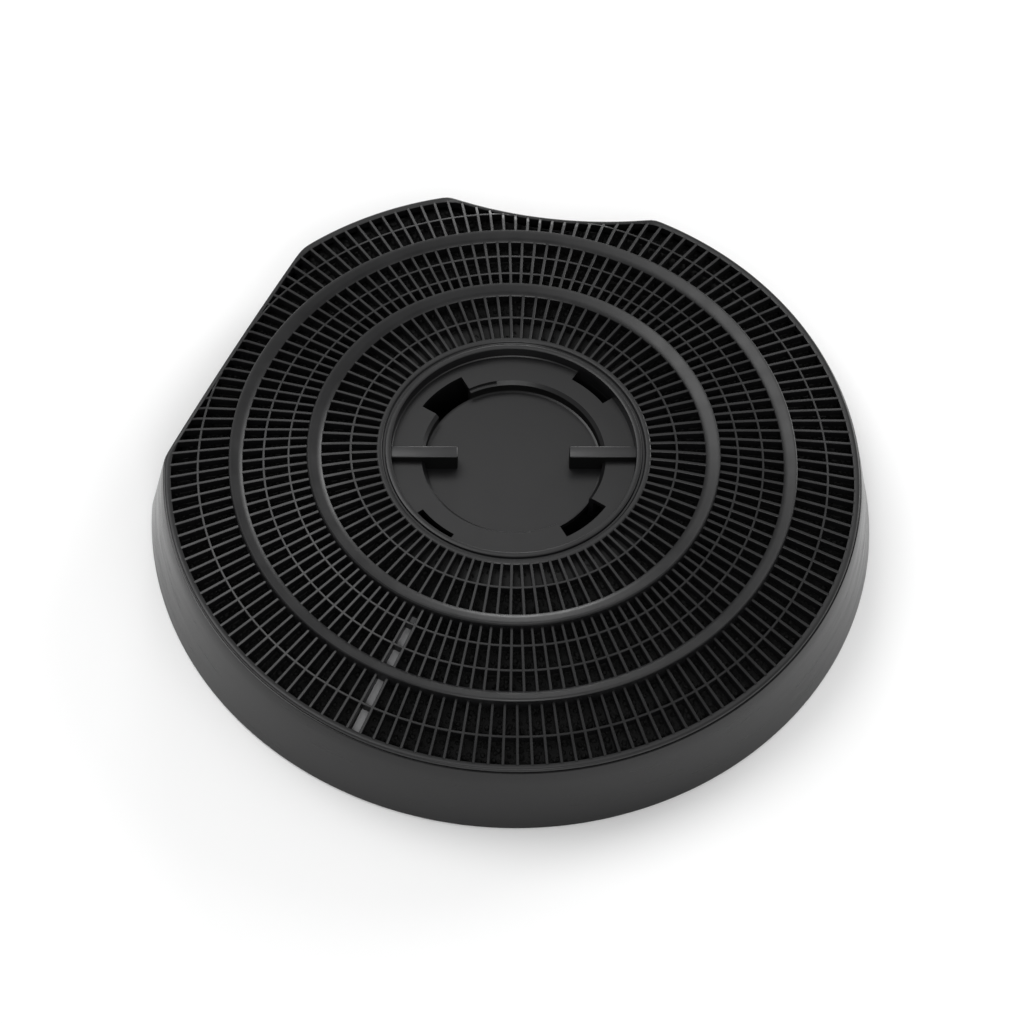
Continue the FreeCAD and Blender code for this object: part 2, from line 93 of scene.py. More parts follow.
def linear(hexColour):
    channels = [int(hexColour[i:i + 2], 16) / 255 for i in (1, 3, 5)]
    return tuple(c / 12.92 if c <= 0.04045 else ((c + 0.055) / 1.055) ** 2.4 for c in channels) + (1.0,)


def addNode(tree, kind, settings=None, links=None):
    node = tree.nodes.new(kind)
    for name, value in (settings or {}).items():
        if hasattr(node, name):
            setattr(node, name, value)
        else:
            node.inputs[name].default_value = value
    for name, source in (links or {}).items():
        tree.links.new(source, node.inputs[name])
    return node


def newMaterial(name):
    material = bpy.data.materials.new(name)
    material.use_nodes = True
    tree = material.node_tree
    tree.nodes.clear()
    output = tree.nodes.new("ShaderNodeOutputMaterial")
    shader = tree.nodes.new("ShaderNodeBsdfPrincipled")
    tree.links.new(shader.outputs["BSDF"], output.inputs["Surface"])
    return material, tree, shader


def addTint(tree, shader, factor, first, second):
    # a base colour that drifts between two colours
    tint = addNode(tree, "ShaderNodeMix", {"data_type": "RGBA"})
    tree.links.new(factor, tint.inputs[mixSockets["factor"]])
    tint.inputs[mixSockets["first"]].default_value = linear(first)
    tint.inputs[mixSockets["second"]].default_value = linear(second)
    tree.links.new(tint.outputs[mixSockets["result"]], shader.inputs["Base Color"])


def addBump(tree, shader, height, strength, depth):
    bump = addNode(tree, "ShaderNodeBump", {"Strength": strength, "Distance": depth * mm}, {"Height": height})
    tree.links.new(bump.outputs["Normal"], shader.inputs["Normal"])


mouldedPlastic = {
    "colour": "#0e0e0f",
    "flowColour": "#141415",
    "ior": 1.45,
    "roughness": 0.36,
    "roughnessSwing": 0.10,
    "grainSize": 0.35,       # mm, the spark-eroded grain of the mould, drawn coarse enough to show
    "grainDepth": 0.02,      # mm
    "grainStrength": 0.35,
    "blotchSize": 9.0,       # mm, faint flow marks
}


def makeMouldedPlastic(name, setup):
    # black ABS straight from the mould: near-black body, soft satin gloss with a fine grain
    material, tree, shader = newMaterial(name)
    coords = addNode(tree, "ShaderNodeTexCoord").outputs["Object"]
    blotches = addNode(tree, "ShaderNodeTexNoise", {"Scale": 1 / (setup["blotchSize"] * mm), "Detail": 3.0,
                                                    "Roughness": 0.55}, {"Vector": coords})
    addTint(tree, shader, blotches.outputs["Fac"], setup["colour"], setup["flowColour"])
    marks = blotches
    if "streakLength" in setup:
        along = 1 / (setup["streakLength"] * mm)
        across = 1 / (setup["streakHeight"] * mm)
        stretched = addNode(tree, "ShaderNodeMapping", {"Scale": (along, along, across)}, {"Vector": coords})
        marks = addNode(tree, "ShaderNodeTexNoise", {"Scale": 1.0, "Detail": 4.0, "Roughness": 0.65},
                        {"Vector": stretched.outputs["Vector"]})
    low = setup["roughness"] - setup["roughnessSwing"] / 2
    gloss = addNode(tree, "ShaderNodeMapRange", {"From Min": 0.3, "From Max": 0.7, "To Min": low,
                                                 "To Max": low + setup["roughnessSwing"]},
                    {"Value": marks.outputs["Fac"]})
    tree.links.new(gloss.outputs["Result"], shader.inputs["Roughness"])
    shader.inputs["IOR"].default_value = setup["ior"]
    grain = addNode(tree, "ShaderNodeTexNoise", {"Scale": 1 / (setup["grainSize"] * mm), "Detail": 2.0},
                    {"Vector": coords})
    addBump(tree, shader, grain.outputs["Fac"], setup["grainStrength"], setup["grainDepth"])
    return material


sideWall = {                 # what differs on the drafted wall, where the mould is polished and slides along
    "colour": "#0a0a0b",
    "flowColour": "#101011",
    "ior": 1.44,
    "roughness": 0.22,
    "roughnessSwing": 0.16,
    "streakLength": 26.0,    # mm, faint rub marks that run round the wall
    "streakHeight": 2.2,
}

uprightShadeSetup = {              # painted shade: upright faces in the hub are made darker and duller, standing in for the shade that falls on them
    "colour": "#040404",
    "flowColour": "#070707",
    "ior": 1.28,
    "roughness": 0.6,
}

barHighlightSetup = {            # painted highlight: the finger bars are made lighter, standing in for the light that their tops catch
    "colour": "#1b1b1c",
    "flowColour": "#222223",
    "ior": 1.5,
}

flangeDarkSetup = {             # what differs on the flange round the tube, under the ends of the ribs: darker and duller
    "colour": "#121212",
    "flowColour": "#181818",
    "ior": 1.36,
    "roughness": 0.6,
}

partitionHighlightSetup = {              # painted highlight: the partition is made grey, standing in for the light that its flat top catches, the one light strip in the grille
    "colour": "#7c7c7d",
    "flowColour": "#8c8c8d",
    "roughness": 0.6,
}

charcoal = {
    "colour": "#030303",
    "dustColour": "#0a0a0a",
    "dustSize": 3.0,         # mm
    "ior": 1.28,
    "roughness": 0.7,
    "poreSize": 0.5,         # mm, the rough broken skin of a granule
    "poreDepth": 0.15,
    "poreStrength": 0.6,
}


def makeCharcoal(name, setup):
    # activated carbon: a broken, porous black that shines only on its facets
    material, tree, shader = newMaterial(name)
    coords = addNode(tree, "ShaderNodeTexCoord").outputs["Object"]
    pores = addNode(tree, "ShaderNodeTexVoronoi", {"Scale": 1 / (setup["poreSize"] * mm)}, {"Vector": coords})
    dust = addNode(tree, "ShaderNodeTexNoise", {"Scale": 1 / (setup["dustSize"] * mm), "Detail": 2.0},
                   {"Vector": coords})
    addTint(tree, shader, dust.outputs["Fac"], setup["colour"], setup["dustColour"])
    shader.inputs["Roughness"].default_value = setup["roughness"]
    shader.inputs["IOR"].default_value = setup["ior"]
    addBump(tree, shader, pores.outputs["Distance"], setup["poreStrength"], setup["poreDepth"])
    return material


grillePlastic = makeMouldedPlastic("satinBlackAbs", mouldedPlastic)
housingPlastic = makeMouldedPlastic("satinBlackAbsHub", mouldedPlastic)
# painted highlight for the tops of the finger bars
barPlastic = makeMouldedPlastic("paintedHighlightBarAbs", {**mouldedPlastic, **barHighlightSetup})
wallPlastic = makeMouldedPlastic("satinBlackAbsTray", {**mouldedPlastic, **sideWall})
# painted shade for the upright faces in the hub
paintedShadePlastic = makeMouldedPlastic("paintedShadeBlackAbs", {**mouldedPlastic, **uprightShadeSetup})
# darker, duller flange round the tube
darkenedFlangePlastic = makeMouldedPlastic("darkenedFlangeAbs", {**mouldedPlastic, **flangeDarkSetup})
# painted highlight for the partition's top
partitionHighlightPlastic = makeMouldedPlastic("paintedHighlightPartitionAbs", {**mouldedPlastic, **partitionHighlightSetup})
granuleCarbon = makeCharcoal("activatedCarbon", charcoal)
print("materials ready")


# the outline that the tray and the grille share: a circle with a straight chord and a round notch
outline = {
    "radius": 114.7,
    "chordDistance": 104.2,
    "chordAngle": 152.6,
    "chordFacing": 0.2,      # the chord counts only for directions that face it this much
    "notchCentre": 210.2,
    "notchRadius": 107.1,
    "notchAngle": 82.2,
    "cornerBlend": 0.55,     # mm, how much the corners are eased
    "steps": 480,
}


def easedMinimum(values, blend):
    lowest = min(values)
    return lowest - blend * math.log(sum(math.exp((lowest - value) / blend) for value in values))


def outlineReach(angle, inset=0.0):
    # distance from the hub axis to the outline, moved inwards by an amount
    reaches = [outline["radius"] - inset]
    facing = math.cos(angle - math.radians(outline["chordAngle"]))
    if facing > outline["chordFacing"]:
        reaches.append((outline["chordDistance"] - inset) / facing)
    swing = angle - math.radians(outline["notchAngle"])
    radius = outline["notchRadius"] + inset
    across = outline["notchCentre"] * math.sin(swing)
    if math.cos(swing) > 0 and abs(across) < radius:
        reaches.append(outline["notchCentre"] * math.cos(swing) - math.sqrt(radius ** 2 - across ** 2))
    return easedMinimum(reaches, outline["cornerBlend"])


def sweepStations(bm, stations, steps):
    # a closed skin round the hub axis, through stations that give radius and height for an angle
    def place(loop, station):
        for vertex in loop:
            angle = math.atan2(vertex.co.y, vertex.co.x)
            radius, height = station(angle)
            vertex.co = Vector((radius * math.cos(angle), radius * math.sin(angle), height)) * mm

    vertices = bmesh.ops.create_circle(bm, segments=steps, radius=1.0)["verts"]
    firstEdges = list({edge for vertex in vertices for edge in vertex.link_edges})
    edges = firstEdges
    place(vertices, stations[0])
    for station in stations[1:]:
        grown = bmesh.ops.extrude_edge_only(bm, edges=edges)["geom"]
        edges = [item for item in grown if isinstance(item, bmesh.types.BMEdge)]
        place([item for item in grown if isinstance(item, bmesh.types.BMVert)], station)
    bmesh.ops.bridge_loops(bm, edges=firstEdges + edges)


def spinProfile(bm, profile, steps, closed=True):
    # turns a profile of radius and height round the hub axis
    corners = [bm.verts.new((radius * mm, 0, height * mm)) for radius, height in profile]
    pairs = list(zip(corners, corners[1:] + corners[:1])) if closed else list(zip(corners[:-1], corners[1:]))
    edges = [bm.edges.new(pair) for pair in pairs]
    bmesh.ops.spin(bm, geom=corners + edges, axis=upAxis, cent=(0, 0, 0), angle=fullTurn, steps=steps,
                   use_merge=True)


def addObject(name, bm, material=None):
    mesh = bpy.data.meshes.new(name)
    bm.to_mesh(mesh)
    bm.free()
    if material:
        mesh.materials.append(material)
    item = bpy.data.objects.new(name, mesh)
    bpy.context.scene.collection.objects.link(item)
    return item


def addPiece(name, bm, material):
    piece = addObject(name, bm, material)
    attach(piece, "root")
    print(name, len(piece.data.polygons), "faces", round(time.time() - started, 1), "s")
    return piece


weldDistance = 0.002         # mm
sharpAngle = 32              # degrees, edges that turn more than this stay crisp


def finishPiece(name, bm, material, replaced):
    bmesh.ops.remove_doubles(bm, verts=bm.verts, dist=weldDistance * mm)
    bmesh.ops.recalc_face_normals(bm, faces=bm.faces)
    for face in bm.faces:
        face.smooth = True
    for edge in bm.edges:
        edge.smooth = edge.calc_face_angle(0.0) < math.radians(sharpAngle)
    piece = addPiece(name, bm, material)
    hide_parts(replaced)
    return piece


# the dome of the grille, as heights of its top over the bench at distances from the axis
dome = {
    "radii": [0.0, 45.0, 53.5, 63.0, 67.9, 73.8, 82.0, 88.9, 93.5, 103.7, 112.6, 130.0],
    "heights": [39.9, 39.9, 39.55, 38.55, 37.9, 36.9, 35.3, 34.0, 33.0, 30.5, 28.2, 27.6],
}


def domeHeight(radius):
    radii = dome["radii"]
    for near, far, low, high in zip(radii[:-1], radii[1:], dome["heights"][:-1], dome["heights"][1:]):
        if near <= radius <= far:
            return low + (high - low) * (radius - near) / (far - near)
    return dome["heights"][-1]


grille = {
    "depth": 3.0,
    "ribWidth": 0.95,
    "ribCuts": 5,
    "ribOverlap": 0.3,       # mm that a rib runs on into the edge bar
    "hoopWidth": 0.75,
    "hoopSteps": 300,
    "hoopCover": 0.4,        # mm of the edge bar that hide a hoop where the outline cuts in
    "hoopSink": 0.3,         # mm that it lies lower there
    "edgeRound": 0.14,
    "rimWidth": 2.1,
    "rimBlend": 2.0,         # mm of cut-in over which the rim narrows to the edge bar
    "edgeBarWidth": 1.4,
    "rimHeight": 28.2,
    "rimRise": 0.17,         # the rim's top rises by this share of what the chord and the notch cut in
    "edgeSlope": 0.9,        # the ribs climb from the rim at most this steeply
    "innerRim": [3.0, 0.2],  # how far under the rim's top its inner face runs
    "outerRim": [(1.25, 0.0), (0.6, 0.0), (0.3, 0.08), (0.1, 0.25), (0.0, 0.55), (0.0, 1.3), (1.1, 1.3),
                 (1.1, 3.0)],
    "bands": [               # inner radius, outer radius, ribs, direction of the first rib in degrees
        (44.5, 63.4, 91, -111.63),
        (67.5, 89.3, 131, -110.70),
        (93.1, 112.9, 151, -111.63),
    ],
    "hoops": [53.5, 73.8, 82.05, 103.7],
    # steps round the axis and profile. The two smooth rings have a long inner slope, a crest near the outer
    # edge and a short outer slope. The last ring closes the grille round the hub, with a shallow groove
    # between it and the tube.
    "rings": [
        (300, [(88.9, 31.0), (88.9, 33.7), (89.2, 34.0), (90.6, 34.46), (92.1, 34.96), (92.75, 35.14),
               (93.05, 35.16), (93.35, 34.9), (93.5, 34.4), (93.5, 30.4)]),
        (260, [(63.0, 35.4), (63.0, 38.3), (63.3, 38.6), (64.8, 39.06), (66.4, 39.56), (67.1, 39.76),
               (67.4, 39.78), (67.7, 39.5), (67.9, 39.0), (67.9, 35.0)]),
        (200, [(42.3, 36.9), (42.3, 39.0), (42.9, 39.0), (43.15, 39.2), (43.2, 39.6), (43.45, 39.85),
               (44.0, 39.95), (44.65, 39.9), (44.95, 39.65), (44.95, 36.9)]),
    ],
}


def edgeHeight(angle):
    # height of the rim's top: a little higher where the chord and the notch cut into the dome
    cutIn = max(0.0, outline["radius"] - outlineReach(angle))
    return grille["rimHeight"] + grille["rimRise"] * cutIn


def grilleTop(radius, angle):
    reach = outlineReach(angle)
    climb = grille["edgeSlope"] * max(0.0, reach - grille["edgeBarWidth"] - radius)
    return min(domeHeight(radius), edgeHeight(angle) + climb)


def ribTemplate(width, depth, cuts):
    # a bar one unit long, eased along its two top edges and ready to bend over the dome
    def lengthwise():
        return [edge for edge in bm.edges if abs(edge.verts[0].co.x - edge.verts[1].co.x) > 0.5]

    bm = bmesh.new()
    vertices = bmesh.ops.create_cube(bm, size=1.0)["verts"]
    bmesh.ops.scale(bm, verts=vertices, vec=(1.0, width, depth))
    bmesh.ops.translate(bm, verts=vertices, vec=(0.5, 0, -depth / 2))
    topEdges = [edge for edge in lengthwise() if all(vertex.co.z > -0.01 for vertex in edge.verts)]
    bmesh.ops.bevel(bm, geom=topEdges, offset=grille["edgeRound"], offset_type="OFFSET", segments=1,
                    profile=0.5, affect="EDGES", material=-1)
    bmesh.ops.subdivide_edges(bm, edges=lengthwise(), cuts=cuts)
    mesh = bpy.data.meshes.new("ribTemplate")
    bm.to_mesh(mesh)
    bm.free()
    return mesh


def addRib(bm, template, angle, inner, outer):
    already = len(bm.verts)
    bm.from_mesh(template)
    bm.verts.ensure_lookup_table()
    points = bm.verts[already:]
    for vertex in points:
        radius = inner + vertex.co.x * (outer - inner)
        vertex.co = Vector((radius, vertex.co.y, vertex.co.z + grilleTop(radius, angle))) * mm
    bmesh.ops.rotate(bm, verts=points, cent=(0, 0, 0), matrix=Matrix.Rotation(angle, 3, "Z"))


def hoopStation(radius, offset, drop):
    # where the outline cuts in, the hoop runs on inside the edge bar, a little lower
    def station(angle):
        held = min(radius, outlineReach(angle, grille["edgeBarWidth"] - grille["hoopCover"]))
        sink = min(grille["hoopSink"], radius - held)
        return held + offset, grilleTop(held + offset, angle) - drop - sink
    return station


def rimStation(inset, drop):
    def station(angle):
        return outlineReach(angle, inset), edgeHeight(angle) - drop
    return station


def innerRimStation(drop):
    def station(angle):
        cutIn = outline["radius"] - outlineReach(angle)
        share = min(1.0, cutIn / grille["rimBlend"])
        width = grille["rimWidth"] + (grille["edgeBarWidth"] - grille["rimWidth"]) * share
        return outlineReach(angle, width), edgeHeight(angle) - drop
    return station


def makeGrille():
    bm = bmesh.new()
    depth = grille["depth"]
    template = ribTemplate(grille["ribWidth"], depth, grille["ribCuts"])
    for inner, outer, count, start in grille["bands"]:
        for number in range(count):
            angle = math.radians(start) + fullTurn * number / count
            reach = min(outer, outlineReach(angle, grille["edgeBarWidth"]) + grille["ribOverlap"])
            addRib(bm, template, angle, inner, reach)
    bpy.data.meshes.remove(template)
    print("ribs laid", round(time.time() - started, 1))
    half = grille["hoopWidth"] / 2
    ease = grille["edgeRound"]
    section = [(-half, depth), (-half, ease), (-half + ease, 0), (half - ease, 0), (half, ease),
               (half, depth)]
    for radius in grille["hoops"]:
        sweepStations(bm, [hoopStation(radius, *corner) for corner in section], grille["hoopSteps"])
    print("hoops laid", round(time.time() - started, 1))
    for steps, profile in grille["rings"]:
        spinProfile(bm, profile, steps)
    stations = [innerRimStation(drop) for drop in grille["innerRim"]]
    stations += [rimStation(*corner) for corner in grille["outerRim"]]
    sweepStations(bm, stations, outline["steps"])
    finishPiece("frontGrille", bm, grillePlastic, "front_grille")


makeGrille()


# tray and hub
housing = {
    "height": 26.6,
    "flare": 4.7,
    "seamStep": 0.6,
    "wall": 1.5,
    "plate": 2.0,
    "lipRound": 0.45,
    "lipEase": 0.3,          # the share of a rounding at which its middle corner lies
    "footRound": 0.5,
    "wallLevels": (0.8, 0.6, 0.4, 0.2),
    "tubeInner": 40.2,
    "tubeOuter": 42.2,
    "tubeTop": 39.85,
    "tubeRound": 0.5,
    "tubeMiddle": (0.15, 0.13),  # mm in from the wall and down from the top, the middle of its rounding
    "tubeFoot": 0.4,
    "socket": 41.0,
    "socketDepth": 25.0,
    "floorTop": 35.8,
    "floorChamfer": 0.3,
    "floorUnder": 34.0,
    "holeRadius": 29.2,
    "cupLip": 1.1,
    "cupFoot": [(1.0, 0.0), (0.8, 0.0), (0.2, 0.2), (0.0, 0.8)],  # in from the cup's wall, up from the disc
    "discTop": 31.5,
    "discUnder": 29.9,
    "bossOuter": 31.0,
    "bossUnder": 26.0,
    "flangeRadius": 52.9,
    "flangeTop": 36.4,
    "flangeUnder": 35.0,
    "edgeEase": 0.3,
    "hubSteps": 240,
}


def wallStation(inset, height, extra=0.0):
    # a point on the drafted wall, so far in from its outer face
    def station(angle):
        widening = housing["flare"] * (1 - height / housing["height"])
        return outlineReach(angle, inset - housing["seamStep"] - widening), height + extra
    return station


def addSector(bm, inner, outer, low, high, start, sweep, steps):
    # a block between two radii and two heights that runs round part of the axis
    corners = [bm.verts.new((radius * mm, 0, height * mm)) for radius, height in
               ((inner, low), (outer, low), (outer, high), (inner, high))]
    bmesh.ops.rotate(bm, verts=corners, cent=(0, 0, 0), matrix=Matrix.Rotation(math.radians(start), 3, "Z"))
    face = bm.faces.new(corners)
    bmesh.ops.spin(bm, geom=[face], axis=upAxis, cent=(0, 0, 0), angle=math.radians(sweep), steps=steps,
                   use_duplicate=False)


def applyModifiers(piece):
    depsgraph = bpy.context.evaluated_depsgraph_get()
    mesh = bpy.data.meshes.new_from_object(piece.evaluated_get(depsgraph))
    piece.modifiers.clear()
    old = piece.data
    piece.data = mesh
    bpy.data.meshes.remove(old)


openings = {
    "windows": [             # inner and outer radius, lowest height, direction and sweep in degrees
        (29.05, 35.8, 25.0, 132.2, 28.5),
        (29.05, 35.8, 25.0, 312.2, 28.5),
        (36.5, 40.23, 33.0, 46.1, 22.0),
        (36.5, 40.23, 33.0, 226.1, 22.0),
    ],
    "lipSteps": [            # where the lip of the cup is cut lower, beside the larger windows
        (28.9, 30.5, 34.9, 109.3, 19.0),
        (28.9, 30.5, 34.9, 289.3, 19.0),
    ],
    "over": 0.1,             # mm that a cut reaches above what it cuts
    "steps": 12,
}


def cutSectors(piece, sectors, top):
    bm = bmesh.new()
    for inner, outer, low, middle, sweep in sectors:
        addSector(bm, inner, outer, low, top, middle - sweep / 2, sweep, openings["steps"])
    bmesh.ops.recalc_face_normals(bm, faces=bm.faces)
    tool = addObject("cutter", bm)
    opening = piece.modifiers.new("openings", "BOOLEAN")
    opening.operation = "DIFFERENCE"
    opening.object = tool
    opening.solver = "EXACT"
    applyModifiers(piece)
    bpy.data.objects.remove(tool)


def makeHub():
    bm = bmesh.new()
    h = housing
    hole = h["holeRadius"]
    ease = h["edgeEase"]
    foot = h["tubeFoot"]
    crown = h["tubeRound"]
    aside, down = h["tubeMiddle"]
    # from the middle of the disc over the cup, floor, tube and flange, then back along the underside
    profile = [(0.0, h["discTop"])]
    profile += [(hole - inwards, h["discTop"] + upwards) for inwards, upwards in h["cupFoot"]]
    profile += [(hole, h["floorTop"] - h["cupLip"]), (hole + h["cupLip"], h["floorTop"]),
                (h["tubeInner"] - h["floorChamfer"], h["floorTop"]),
                (h["tubeInner"], h["floorTop"] + h["floorChamfer"]), (h["tubeInner"], h["tubeTop"] - crown),
                (h["tubeInner"] + aside, h["tubeTop"] - down), (h["tubeInner"] + crown, h["tubeTop"]),
                (h["tubeOuter"] - crown, h["tubeTop"]), (h["tubeOuter"] - aside, h["tubeTop"] - down),
                (h["tubeOuter"], h["tubeTop"] - crown), (h["tubeOuter"], h["flangeTop"] + ease),
                (h["tubeOuter"] + ease, h["flangeTop"]), (h["flangeRadius"] - ease, h["flangeTop"]),
                (h["flangeRadius"], h["flangeTop"] - ease), (h["flangeRadius"], h["flangeUnder"]),
                (h["tubeOuter"] + foot, h["flangeUnder"]), (h["tubeOuter"], h["flangeUnder"] - foot),
                (h["tubeOuter"], foot), (h["tubeOuter"] - foot, 0.0),
                (h["socket"] + foot, 0.0), (h["socket"], foot), (h["socket"], h["socketDepth"]),
                (h["tubeInner"], h["socketDepth"] + foot), (h["tubeInner"], h["floorUnder"]),
                (h["bossOuter"], h["floorUnder"]), (h["bossOuter"], h["bossUnder"] + ease),
                (h["bossOuter"] - ease, h["bossUnder"]), (hole + ease, h["bossUnder"]),
                (hole, h["bossUnder"] + ease), (hole, h["discUnder"]), (0.0, h["discUnder"])]
    spinProfile(bm, profile, h["hubSteps"], closed=False)
    hub = finishPiece("hubTube", bm, housingPlastic, "filter_housing")
    cutSectors(hub, openings["windows"], h["floorTop"] + h["floorChamfer"] + openings["over"])
    cutSectors(hub, openings["lipSteps"], h["floorTop"] + openings["over"])
    # the flange round the tube, under the ends of the ribs, is made darker and duller, and the cup's wall
    # gets painted shade
    hub.data.materials.append(darkenedFlangePlastic)
    hub.data.materials.append(paintedShadePlastic)
    for face in hub.data.polygons:
        centre = face.center / mm
        reach = math.hypot(centre.x, centre.y)
        if reach > h["tubeOuter"] - 0.1 and centre.z < h["flangeTop"] + 0.4:
            face.material_index = 1
        elif abs(reach - hole) < 0.2 and h["discTop"] < centre.z < h["floorTop"] - h["cupLip"]:
            face.material_index = 2


def addRoundedBox(bm, low, high, rounding, matrix, segments):
    vertices = bmesh.ops.create_cube(bm, size=1.0)["verts"]
    bmesh.ops.scale(bm, verts=vertices, vec=Vector(high) - Vector(low))
    bmesh.ops.translate(bm, verts=vertices, vec=(Vector(high) + Vector(low)) / 2)
    edges = list({edge for vertex in vertices for edge in vertex.link_edges})
    rounded = bmesh.ops.bevel(bm, geom=edges, offset=rounding, offset_type="OFFSET", segments=segments,
                              profile=0.5, affect="EDGES", material=-1)
    points = list({vertex for face in rounded["faces"] for vertex in face.verts})
    bmesh.ops.transform(bm, matrix=matrix @ Matrix.Scale(mm, 4), verts=points)


fingerBars = {
    "innerEnd": 18.3,
    "outerEnd": 40.6,
    "width": 4.4,
    "top": 38.4,
    "footOverlap": 0.4,      # mm that a bar reaches down into the disc
    "rounding": 0.45,
    "roundSteps": 3,
    "uprightSlope": 0.4,     # faces whose normal rises less than this are the upright ones, which get painted shade
}

seatRibs = {
    "count": 6,
    "low": (41.8, -0.8, 1.0),
    "high": (44.8, 0.8, 36.8),
    "rounding": 0.15,
}


def makeBars():
    bm = bmesh.new()
    b = fingerBars
    half = b["width"] / 2
    for turn in (0, 180):
        addRoundedBox(bm, (b["innerEnd"], -half, housing["discUnder"] + b["footOverlap"]),
                      (b["outerEnd"], half, b["top"]), b["rounding"],
                      Matrix.Rotation(math.radians(turn), 4, "Z"), b["roundSteps"])
    for number in range(seatRibs["count"]):
        turned = Matrix.Rotation(fullTurn * number / seatRibs["count"], 4, "Z")
        addRoundedBox(bm, seatRibs["low"], seatRibs["high"], seatRibs["rounding"], turned, 1)
    bars = finishPiece("fingerBars", bm, barPlastic, "filter_housing")
    # the upright faces of the bars and seat ribs get painted shade
    bars.data.materials.append(paintedShadePlastic)
    for face in bars.data.polygons:
        if abs(face.normal.z) < b["uprightSlope"]:
            face.material_index = 1


motorGrid = {
    "outer": 106.0,
    "border": 3.0,           # mm between the outline and the grid where the outline cuts in
    "middle": 77.7,
    "inner": 47.0,
    "tubeEdge": 41.0,
    "barWidth": 2.0,
    "barOverlap": 1,         # mm that a bar runs on into the hoops
    "barInset": 2.0,
    "hoopWidth": 3.0,
    "ease": 0.2,
    "innerSteps": 200,
    "middleSteps": 240,
    "outerBars": 36,
    "innerBars": 18,
}


def gridSection(inner, outer):
    # a flat hoop of the grid with eased edges
    ease = motorGrid["ease"]
    top = housing["plate"]
    return [(inner, ease), (inner + ease, 0.0), (outer - ease, 0.0), (outer, ease), (outer, top - ease),
            (outer - ease, top), (inner + ease, top), (inner, top - ease)]


def borderStation(ease, height):
    # the edge of the plate round the grid
    def station(angle):
        return min(motorGrid["outer"] + ease, outlineReach(angle, motorGrid["border"] - ease)), height
    return station


def makeTray():
    bm = bmesh.new()
    h = housing
    g = motorGrid
    top = h["height"]
    lip = h["lipRound"]
    foot = h["footRound"]
    share = h["lipEase"]
    # one closed section: grid border, inside of the wall, lip, outer face, foot and underside
    stations = [borderStation(0.0, g["ease"]), borderStation(0.0, h["plate"] - g["ease"]),
                borderStation(g["ease"], h["plate"]),
                wallStation(h["wall"] + foot, h["plate"]), wallStation(h["wall"], h["plate"], foot),
                wallStation(h["wall"], top, -lip), wallStation(h["wall"] - lip * share, top, -lip * share),
                wallStation(h["wall"] - lip, top), wallStation(lip, top),
                wallStation(lip * share, top, -lip * share), wallStation(0.0, top, -lip)]
    stations += [wallStation(0.0, top * level) for level in h["wallLevels"]]
    stations += [wallStation(0.0, 0.0, foot), wallStation(foot * share, 0.0, foot * share),
                 wallStation(foot, 0.0), borderStation(g["ease"], 0.0)]
    sweepStations(bm, stations, outline["steps"])
    # hoops and bars of the motor side grid
    half = g["hoopWidth"] / 2
    spinProfile(bm, gridSection(g["tubeEdge"], g["inner"]), g["innerSteps"])
    spinProfile(bm, gridSection(g["middle"] - half, g["middle"] + half), g["middleSteps"])
    half = g["barWidth"] / 2
    for near, far, count in ((g["middle"], g["outer"], g["outerBars"]),
                             (g["inner"], g["middle"], g["innerBars"])):
        for number in range(count):
            angle = fullTurn * number / count
            reach = min(far + g["barOverlap"], outlineReach(angle, g["barInset"]))
            addRoundedBox(bm, (near - g["barOverlap"], -half, 0.0), (reach, half, h["plate"]), g["ease"],
                          Matrix.Rotation(angle, 4, "Z"), 1)
    finishPiece("tray", bm, wallPlastic, "filter_housing")


partitionWall = {
    "angle": 242.4,          # degrees
    "width": 2.9,
    "inner": 42.0,
    "outer": 112.8,
    "footOuter": 118.0,
    "footHeight": 1.0,
    "steps": 24,
    "clearance": 0.2,        # mm under the grille
    "fallFrom": 74.0,        # it falls away towards the hub from here, where no strip shows
    "fall": 0.2,
}


def makePartition():
    # the radial wall inside the tray: its top follows the underside of the grille
    bm = bmesh.new()
    p = partitionWall
    half = p["width"] / 2
    angle = math.radians(p["angle"])
    radii = [p["inner"] + step * (p["outer"] - p["inner"]) / p["steps"] for step in range(p["steps"] + 1)]

    def topHeight(radius):
        fall = p["fall"] * max(0.0, p["fallFrom"] - radius)
        return grilleTop(radius, angle) - grille["depth"] - p["clearance"] - fall

    tops = [bm.verts.new((radius * mm, -half * mm, topHeight(radius) * mm)) for radius in radii]
    feet = [bm.verts.new((radius * mm, -half * mm, p["footHeight"] * mm))
            for radius in (p["footOuter"], p["inner"])]
    face = bm.faces.new(tops + feet)
    grown = bmesh.ops.extrude_face_region(bm, geom=[face])["geom"]
    moved = [item for item in grown if isinstance(item, bmesh.types.BMVert)]
    bmesh.ops.translate(bm, verts=moved, vec=(0, p["width"] * mm, 0))
    bmesh.ops.rotate(bm, verts=bm.verts, cent=(0, 0, 0), matrix=Matrix.Rotation(angle, 3, "Z"))
    # the partition's grey is a painted highlight for the light that its top catches
    finishPiece("partition", bm, partitionHighlightPlastic, "filter_housing")


makeHub()
makeBars()
makeTray()
makePartition()
print("housing ready")


# the carbon: one plain dark bed with loose granules lying on it under the grille and over the grid
granules = {
    "size": 2.3,             # mm across
    "sizeSwing": (0.7, 1.3),
    "pitch": 2.25,
    "jitter": 0.35,          # share of the spacing along the bed, and mm in height
    "partitionGap": 1.2,
    "slices": 24,
    "seed": 11,
    "upper": (46.0, 113.0, 3.4),  # inner and outer radius, distance kept from the outline
    "lower": (47.0, 109.0, 4.0),
    "lowerRise": 0.9,        # mm over the plate
}

